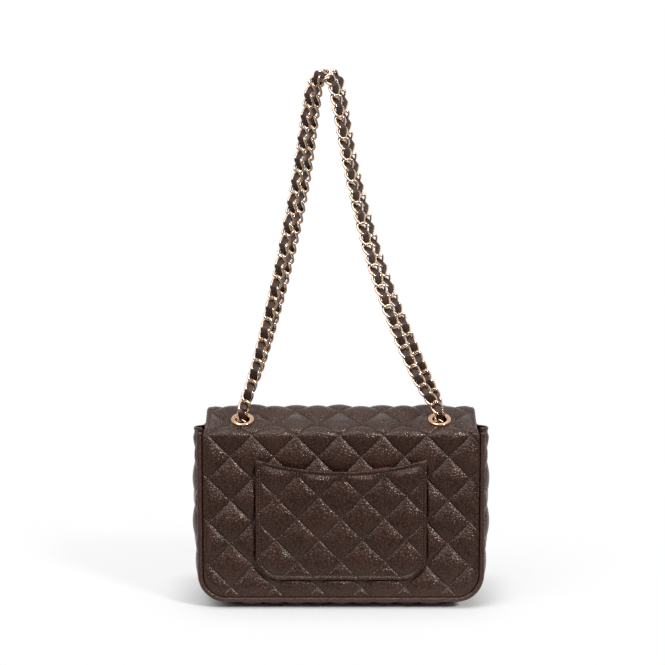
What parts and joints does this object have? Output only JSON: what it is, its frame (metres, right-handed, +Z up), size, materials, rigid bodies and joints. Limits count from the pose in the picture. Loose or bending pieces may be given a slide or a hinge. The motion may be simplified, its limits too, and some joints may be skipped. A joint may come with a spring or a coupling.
{
  "type": "quilted flap bag",
  "caption": "Quilted leather flap bag with a back slip pocket, bulging gusset, turn lock, and a doubled laced chain strap that swings on eyelets in the hinged flap.",
  "frame": {"origin": "Middle of the flat underside of the gusset, on the ground", "axes": "+Z up to the strap's apex; -Y out of the back with the slip pocket, +Y out of the flap's front with the turn lock; +X to the right seen from behind the bag"},
  "size_m": [0.262, 0.0946, 0.4664],
  "materials": {
    "leather": "dark brown pebbled leather, half matt",
    "lace_leather": "brown smooth leather, half matt",
    "lining": "smooth burgundy leather",
    "rose_gold": "polished pale rose gold plating",
    "board": "raw stiffening board, hidden"
  },
  "bodies": {
    "bag_body": {"back_panel": "leather", "front_panel": "leather", "gusset": "leather", "back_piping": "leather", "front_piping": "leather", "mouth_binding_left": "leather", "mouth_binding_right": "leather", "back_board": "board", "front_board": "board", "base_board": "board", "lining": "lining", "back_pocket": "leather", "back_pocket_lining": "lining", "lock_base": "rose_gold", "lock_washer": "rose_gold"},
    "flap": {"flap": "leather", "flap_lining": "lining", "eyelet_back_left": "rose_gold", "eyelet_back_right": "rose_gold", "eyelet_front_left": "rose_gold", "eyelet_front_right": "rose_gold", "eyelet_washer_back_left": "rose_gold", "eyelet_washer_back_right": "rose_gold", "eyelet_washer_front_left": "rose_gold", "eyelet_washer_front_right": "rose_gold", "lock_plate": "rose_gold", "lock_plate_clamp": "rose_gold", "chain_bridge_left": "rose_gold", "chain_bridge_right": "rose_gold", "lace_bridge_left": "lace_leather", "lace_bridge_right": "lace_leather"},
    "turn_lock": {"lock_bar": "rose_gold"},
    "back_strap": {"chain_back_left": "rose_gold", "chain_back_right": "rose_gold", "lace_back_left": "lace_leather", "lace_back_right": "lace_leather"},
    "front_strap": {"chain_front_left": "rose_gold", "chain_front_right": "rose_gold", "lace_front_left": "lace_leather", "lace_front_right": "lace_leather"}
  },
  "joints": [
    {"name": "flap_open", "type": "hinge", "parent": "bag_body", "child": "flap", "pos_m": [0, -0.03467, 0.15747], "axis": [1, 0, 0], "range_deg": [0, 105]},
    {"name": "turn_lock_turn", "type": "hinge", "parent": "bag_body", "child": "turn_lock", "pos_m": [0, 0.0473, 0.0747], "axis": [0, 1, 0], "range_deg": [0, 90]},
    {"name": "back_strap_swing", "type": "hinge", "parent": "flap", "child": "back_strap", "pos_m": [0, -0.02465, 0.17298], "axis": [1, 0, 0], "range_deg": [0, 78]},
    {"name": "front_strap_swing", "type": "hinge", "parent": "flap", "child": "front_strap", "pos_m": [0, 0.02825, 0.1748], "axis": [1, 0, 0], "range_deg": [-80, 0]}
  ]
}
